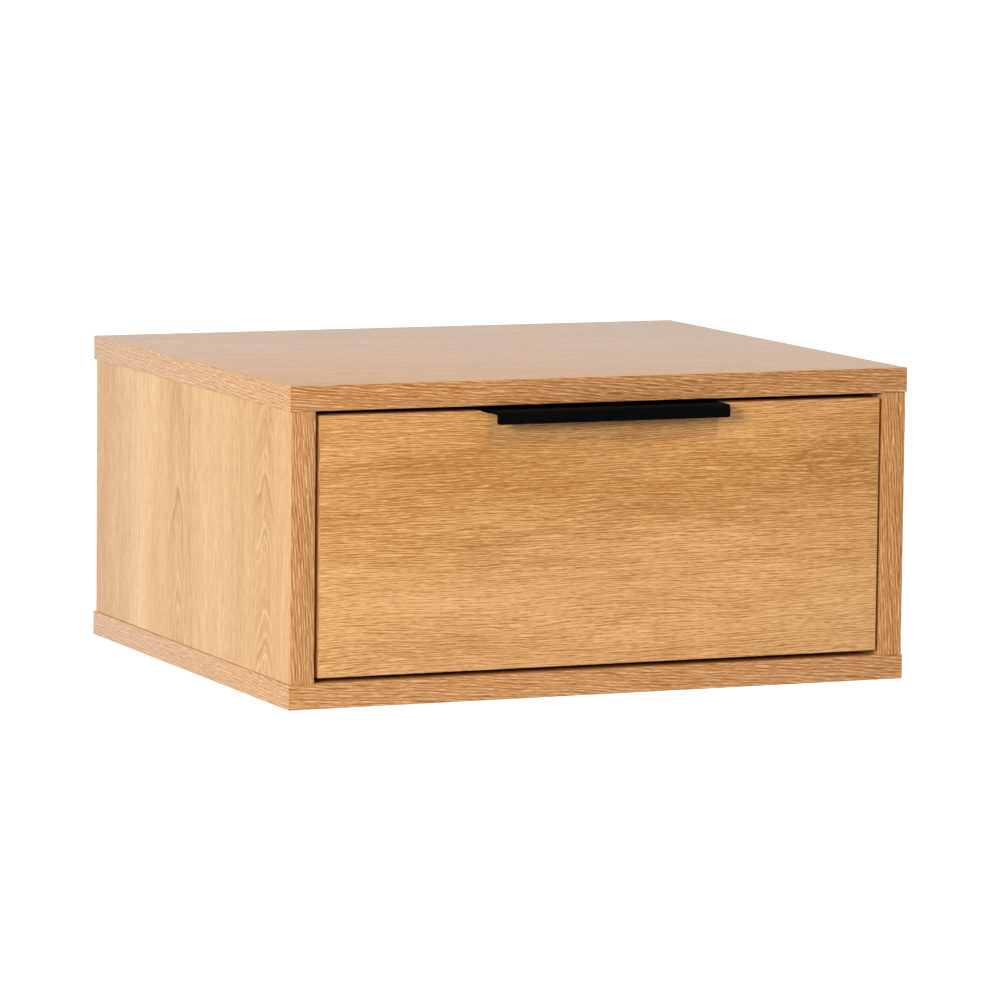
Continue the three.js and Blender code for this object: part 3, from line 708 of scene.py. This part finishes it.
def front_figure(u, v, w):
    """The fibres part round a long eye near the right end, and faint arches lie within it."""
    above = w - eye_v
    inside = abs(u - eye_u).rise(eye_half_length, 0.0) * abs(above).rise(eye_half_height, 0.0)
    parted = w - inside * (above / eye_core).tanh() * eye_push
    growth = (above * above + eye_bend ** 2) ** 0.5 - (u - eye_u) * eye_slope
    arches = growth_rings(growth, eye_ring_count, detail=1.0)
    return parted, inside * (arches - 0.5 - eye_dimming)


front_bands = [(-0.010, 0.066, -0.40), (-0.095, 0.055, 0.30)]
front_decor = oak_decor("oak_decor_drawer_front", front_bands, front_figure, reach=0.55)
low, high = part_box("drawer_front")
drawer_front = block("drawer_front_board", low, high)
for place in (-recess_end_half, -recess_floor_half, recess_floor_half, recess_end_half):
    pick(drawer_front, "FACE", lambda face: True)
    bpy.ops.mesh.bisect(plane_co=(place, 0, 0), plane_no=(1, 0, 0))
    leave_edit()


def on_recess_floor(point):
    return point.co.z > high.z - hair and abs(point.co.x) < recess_floor_half + hair


pick(drawer_front, "VERT", on_recess_floor)
bpy.ops.transform.translate(value=(0, 0, -recess_depth))
leave_edit()


def on_outer_edge(a, b):
    """An outer edge of the board, and not a line across one of its faces."""
    if abs(a.x) > high.x - hair and abs(b.x) > high.x - hair:
        return True
    return abs(a.y - b.y) < hair and abs(a.x - b.x) > hair


round_edges(drawer_front, on_outer_edge)
bottom_low, bottom_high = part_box("drawer_bottom")


def groove(front_end, rear_end):
    """The tool for the groove that the drawer's bottom lies in."""
    start = Vector((bottom_low.x - groove_gap, front_end, bottom_low.z - groove_gap))
    end = Vector((bottom_high.x + groove_gap, rear_end, bottom_high.z + groove_gap))
    return block("groove", start, end)


cut_out(drawer_front, groove(bottom_low.y - groove_gap, high.y + overrun))
map_grain(drawer_front, depthwise, across, (0.0, 0.0))


def band_or_highlit_core(polygon):
    """Bare core shows only on the recess's two sloping ends, where its pale colour also paints a
    highlight.
    """
    slopes = polygon.normal.z > slope_rise and abs(polygon.normal.x) > slope_lean
    return 2 if slopes and abs(polygon.center.x) < recess_reach else 1


# On the recess slopes the pale core finish is partly real cut board and partly painted highlight.
give_board_finish(drawer_front, depthwise, (front_decor, band_decor, chip_core_and_highlight), band_or_highlit_core)
smooth(drawer_front, degrees=25)
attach(drawer_front, "drawer")
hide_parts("drawer_front")


# Pull. A strip of 2 mm steel sheet bent over the drawer front's top edge, with a short lip in
# front and a long flange behind that two screws hold. It is powder coated in matt black.
pull_sheet = 0.002
pull_bend = 0.0025
pull_bend_segments = 8
pull_corner = 0.0015
pull_corner_segments = 5
lip_height = 0.0077
low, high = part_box("pull")
lip_bottom = high.z - lip_height
deselect()
bpy.ops.mesh.primitive_plane_add(
    size=1,
    location=(0, low.y, (lip_bottom + high.z) / 2),
    rotation=(math.pi / 2, 0, 0),
)
pull = bpy.context.object
pull.name = "pull_strip"
pull.scale = (high.x - low.x, lip_height, 1)
fix_place(pull)
pick(pull, "EDGE", lambda edge: all(point.z > high.z - hair for point in edge_points(pull, edge)))
bpy.ops.mesh.extrude_region_move(TRANSFORM_OT_translate={"value": (0, high.y - low.y, 0)})
bpy.ops.mesh.extrude_region_move(TRANSFORM_OT_translate={"value": (0, 0, low.z - high.z)})
leave_edit()
pick(pull, "VERT", lambda point: point.co.z < lip_bottom + hair)
bpy.ops.mesh.bevel(offset=pull_corner, segments=pull_corner_segments, affect="VERTICES")
leave_edit()


def on_bend(a, b):
    """One of the two lines at the top that the strip is bent along."""
    return a.z > high.z - hair and b.z > high.z - hair and abs(a.y - b.y) < hair


round_edges(pull, on_bend, pull_bend, pull_bend_segments)
wall = pull.modifiers.new("sheet", "SOLIDIFY")
wall.thickness = pull_sheet
wall.offset = -1
wall.use_even_offset = True
activate(pull)
bpy.ops.object.modifier_apply(modifier=wall.name)


def clouds(shade, place, per_metre, detail=2.0):
    """Plain noise, about 0.5 on average."""
    values = {"Vector": place, "Scale": per_metre, "Detail": detail}
    return shade.add("ShaderNodeTexNoise", None, values)


coat_black = (0.0024, 0.0022, 0.0023, 1)
coat_paler = (0.0036, 0.0033, 0.0033, 1)
coat_gloss = 0.02


def powder_coat():
    """Matt black powder coat: a fine, even orange peel under faint paler clouds."""
    material, shade = new_material("black_powder_coat")
    place = object_place(shade)
    peel = clouds(shade, place, 1600.0)
    color = clouds(shade, place, 60.0).rise(0.3, 0.7).blend(coat_black, coat_paler)
    normal = relief(shade, peel, strength=0.25, distance=0.0001)
    roughness = 0.6 + (peel - 0.5) * 0.2
    coat = principled(shade, color, roughness, normal, Specular_IOR_Level=coat_gloss)
    give_surface(shade, coat)
    return material


pull.data.materials.append(powder_coat())
smooth(pull)
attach(pull, "drawer")
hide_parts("pull")


# Back panel and hanging rail. The back is hardboard, smooth and brown, dropped into the rear. The
# rail in front of it is foiled particle board that two dowels at each end hold between the sides.
# Two screws through both hold the cabinet to the wall.
wall_hole_radius = 0.00275
wall_hole_sides = 32
wall_sink_radius = 0.0055
wall_hole_x = 0.144
back_edge_radius = 0.0003
rail_edge_radius = 0.0005
long_edge = 0.1
hardboard_dark = (0.22, 0.105, 0.042, 1)
hardboard_light = (0.44, 0.245, 0.115, 1)
hardboard_clot = (0.13, 0.060, 0.026, 1)


def hardboard():
    """Brown hardboard: fine felted fibres, with darker clots and a dull sheen."""
    material, shade = new_material("hardboard_brown")
    place = object_place(shade)
    felt = clouds(shade, place, 900.0, detail=3.0)
    clots = clouds(shade, place, 140.0, detail=3.0).rise(0.60, 0.72)
    cloud = clouds(shade, place, 9.0)
    value = (felt - 0.5) * 0.9 + (cloud - 0.5) * 0.6 + 0.5
    color = value.blend(hardboard_dark, hardboard_light)
    color = (clots * 0.5).blend(color, hardboard_clot)
    normal = relief(shade, felt, strength=0.4, distance=0.0003)
    give_surface(shade, principled(shade, color, 0.72 - felt * 0.1, normal))
    return material


foil_dark = (0.60, 0.420, 0.240, 1)
foil_light = (0.80, 0.640, 0.430, 1)
foil_pore = (0.45, 0.290, 0.150, 1)
foil_turn = 1.1


def foiled_board(name, long):
    """Pale oak paper foil over particle board, flatter and duller than the decor outside."""
    material, shade = new_material(name)
    parts = list(split(shade, object_place(shade)))
    u = parts.pop(long)
    w = flowing(u, parts[0] + parts[1] * foil_turn)
    tone = swing(u, w, length=0.30, thickness=0.014, strength=1.2, detail=2.0, start=2.0)
    fibres = streaks(u, w, length=0.020, thickness=0.0009, start=5.0)
    pores = streaks(u, w, length=0.012, thickness=0.0007, detail=0.5, start=8.0).rise(0.60, 0.78)
    value = tone + (fibres - 0.5) * 0.8 + 0.5
    color = value.blend(foil_dark, foil_light)
    color = (pores * 0.4).blend(color, foil_pore)
    normal = relief(shade, fibres, strength=0.15, distance=0.0001)
    give_surface(shade, principled(shade, color, 0.55 - fibres * 0.06, normal))
    return material


def body_of(node):
    return cad[node]["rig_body"]


def stand_for(piece, node):
    """The piece moves with the node's body and is seen in its place."""
    smooth(piece)
    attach(piece, body_of(node))
    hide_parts(node)


def countersink(x, front_face):
    """The tool for a screw head's cone, sunk from the front."""
    deselect()
    bpy.ops.mesh.primitive_cone_add(
        vertices=wall_hole_sides,
        radius1=wall_sink_radius,
        radius2=0.0,
        depth=wall_sink_radius,
        location=(x, front_face + wall_sink_radius / 2 - hair, 0),
        rotation=(-math.pi / 2, 0, 0),
    )
    tool = bpy.context.object
    fix_place(tool)
    return tool


def wall_holes(piece, low, high, sunk):
    """The two holes for the screws to the wall."""
    for x in (-wall_hole_x, wall_hole_x):
        middle = Vector((x, (low.y + high.y) / 2, 0))
        length = 2 * (high.y - low.y)
        bore = cylinder("bore", middle, depthwise, wall_hole_radius, length, wall_hole_sides)
        cut_out(piece, bore)
        if sunk:
            cut_out(piece, countersink(x, low.y))


hardboard_brown = hardboard()
foil_across = foiled_board("oak_foil_across", across)
foil_lengthwise = foiled_board("oak_foil_lengthwise", depthwise)
low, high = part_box("back_panel")
back = block("back_panel_board", low, high)
round_edges(back, lambda a, b: True, back_edge_radius, segments=2)
wall_holes(back, low, high, sunk=False)
back.data.materials.append(hardboard_brown)
stand_for(back, "back_panel")
low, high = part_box("hanging_rail")
rail = block("hanging_rail_board", low, high)
round_edges(rail, lambda a, b: abs(a.x - b.x) > long_edge, rail_edge_radius)
wall_holes(rail, low, high, sunk=True)
rail.data.materials.append(foil_across)
stand_for(rail, "hanging_rail")


# Drawer box. Two sides and a back of thin foiled board, with soft top edges, stand round a
# hardboard bottom that lies in grooves. Cam locks pull the sides to the front, and a screw through
# each side holds the back.
soft_edge = 0.0025
soft_edge_segments = 6
bottom_edge_radius = 0.0002


def soften_top(board, top, axis):
    """Rounds the two long edges at the top of a board that runs along an axis."""
    def on_top(a, b):
        return a.z > top - hair and b.z > top - hair and abs(a[axis] - b[axis]) > long_edge
    round_edges(board, on_top, soft_edge, soft_edge_segments)


for node in ("left_drawer_side", "right_drawer_side"):
    low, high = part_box(node)
    box_side = block(node + "_board", low, high)
    soften_top(box_side, high.z, depthwise)
    cut_out(box_side, groove(low.y - overrun, high.y + overrun))
    cut_cam_bore(box_side, node.replace("side", "cam"))
    box_side.data.materials.append(foil_lengthwise)
    stand_for(box_side, node)

low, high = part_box("drawer_back")
box_back = block("drawer_back_board", low, high)
soften_top(box_back, high.z, across)
box_back.data.materials.append(foil_across)
stand_for(box_back, "drawer_back")

box_bottom = block("drawer_bottom_board", bottom_low, bottom_high)
round_edges(box_bottom, lambda a, b: True, bottom_edge_radius, segments=2)
box_bottom.data.materials.append(foil_across)
box_bottom.data.materials.append(hardboard_brown)
for polygon in box_bottom.data.polygons:
    polygon.material_index = 0 if polygon.normal.z > flat_enough else 1
stand_for(box_bottom, "drawer_bottom")


# Slides and their rollers. The rails are pressed from 1.2 mm steel sheet with white enamel, and
# the nylon rollers turn on rivets. One pair of rails is screwed to the cabinet's sides and one to
# the drawer's.
rail_softening = 0.0003
roller_softening = 0.0002
sharp_angle = math.radians(30)
same_plane_angle = math.radians(1)
merge_distance = 0.000001
enamel_white = (0.80, 0.79, 0.75, 1)
enamel_bright = (0.86, 0.85, 0.82, 1)
enamel_rubbed = (0.52, 0.52, 0.51, 1)
nylon_shade = (0.76, 0.755, 0.72, 1)
nylon_white = (0.88, 0.875, 0.85, 1)


def enamel():
    """White baked enamel: smooth, slightly wavy, with a few fine rubbed marks along the rail."""
    material, shade = new_material("white_baked_enamel")
    place = object_place(shade)
    wave = clouds(shade, place, 260.0)
    x, y, z = split(shade, place)
    rub = streaks(y, x + z, length=0.05, thickness=0.0006).rise(0.62, 0.75)
    color = wave.blend(enamel_white, enamel_bright)
    color = (rub * 0.35).blend(color, enamel_rubbed)
    normal = relief(shade, wave, strength=0.12, distance=0.0002)
    give_surface(shade, principled(shade, color, 0.28 + rub * 0.2, normal))
    return material


def nylon():
    """White nylon: faintly warm, waxy, with light scuffs."""
    material, shade = new_material("white_nylon")
    cloud = clouds(shade, object_place(shade), 350.0, detail=3.0)
    color = cloud.blend(nylon_shade, nylon_white)
    normal = relief(shade, cloud, strength=0.15, distance=0.0001)
    give_surface(shade, principled(shade, color, 0.38 + cloud * 0.16, normal))
    return material


def softened(node, material, edge, segments=2):
    """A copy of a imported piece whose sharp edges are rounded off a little."""
    copy = cad[node].copy()
    copy.data = cad[node].data.copy()
    bpy.context.collection.objects.link(copy)
    copy.parent = None
    copy.name = node + "_finished"
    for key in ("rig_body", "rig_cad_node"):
        del copy[key]
    pick(copy, "FACE", lambda face: True)
    bpy.ops.mesh.remove_doubles(threshold=merge_distance)
    bpy.ops.mesh.dissolve_limited(angle_limit=same_plane_angle)
    leave_edit()
    copy.data.materials.clear()
    copy.data.materials.append(material)
    rounding = copy.modifiers.new("rounding", "BEVEL")
    rounding.width = edge
    rounding.segments = segments
    rounding.limit_method = "ANGLE"
    rounding.angle_limit = sharp_angle
    rounding.use_clamp_overlap = True
    activate(copy)
    bpy.ops.object.modifier_apply(modifier=rounding.name)
    stand_for(copy, node)


white_enamel = enamel()
white_nylon = nylon()
for node in sorted(cad):
    if node.endswith(("_cabinet_rail", "_drawer_rail")):
        softened(node, white_enamel, rail_softening, segments=3)
    elif node.endswith("_roller"):
        softened(node, white_nylon, roller_softening)


# Fittings. Zinc-plated screws and rivets, die-cast cam locks with their steel bolts, and beech
# dowels. The screws and bolts are headed and rolled from wire, and the dowels are turned.
fitting_softening = 0.0002
screw_softening = 0.00012
plated_tint = (0.66, 0.67, 0.69)
cast_tint = (0.55, 0.56, 0.57)
beech_dark = (0.60, 0.38, 0.21, 1)
beech_light = (0.74, 0.52, 0.32, 1)
beech_fleck = (0.40, 0.21, 0.11, 1)


def zinc(name, tint, roughness):
    """Bright zinc plating or die-cast zinc: faint clouds and fine scratches."""
    material, shade = new_material(name)
    place = object_place(shade)
    cloud = clouds(shade, place, 420.0, detail=3.0)
    scratch = clouds(shade, place, 2600.0, detail=1.0)
    pale = tuple(min(1.0, channel * 1.15) for channel in tint) + (1,)
    deep = tuple(channel * 0.78 for channel in tint) + (1,)
    color = cloud.rise(0.3, 0.7).blend(deep, pale)
    uneven = cloud * 0.16 + scratch * 0.08 + roughness
    normal = relief(shade, scratch, strength=0.15, distance=0.00005)
    give_surface(shade, principled(shade, color, uneven, normal, Metallic=1.0))
    return material


def turned_beech():
    """Beech dowel: pale pink brown with short dark flecks along the grain."""
    material, shade = new_material("beech_dowel")
    x, y, z = split(shade, object_place(shade))
    flecks = streaks(x, y + z, length=0.002, thickness=0.0004).rise(0.58, 0.74)
    tone = streaks(x, y - z, length=0.02, thickness=0.0015)
    color = tone.blend(beech_dark, beech_light)
    color = (flecks * 0.6).blend(color, beech_fleck)
    normal = relief(shade, tone, strength=0.3, distance=0.0001)
    give_surface(shade, principled(shade, color, 0.7 - tone * 0.1, normal))
    return material


bright_steel = zinc("zinc_plated_steel", plated_tint, 0.22)
cast_zinc = zinc("die_cast_zinc_matt", cast_tint, 0.36)
beech = turned_beech()
for node in sorted(cad):
    if node.endswith("_cam"):
        softened(node, cast_zinc, fitting_softening)
    elif node.endswith("_dowel"):
        softened(node, beech, fitting_softening)
    elif node.endswith(("_bolt", "_screw", "_pin")):
        softened(node, bright_steel, screw_softening)


low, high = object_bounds()
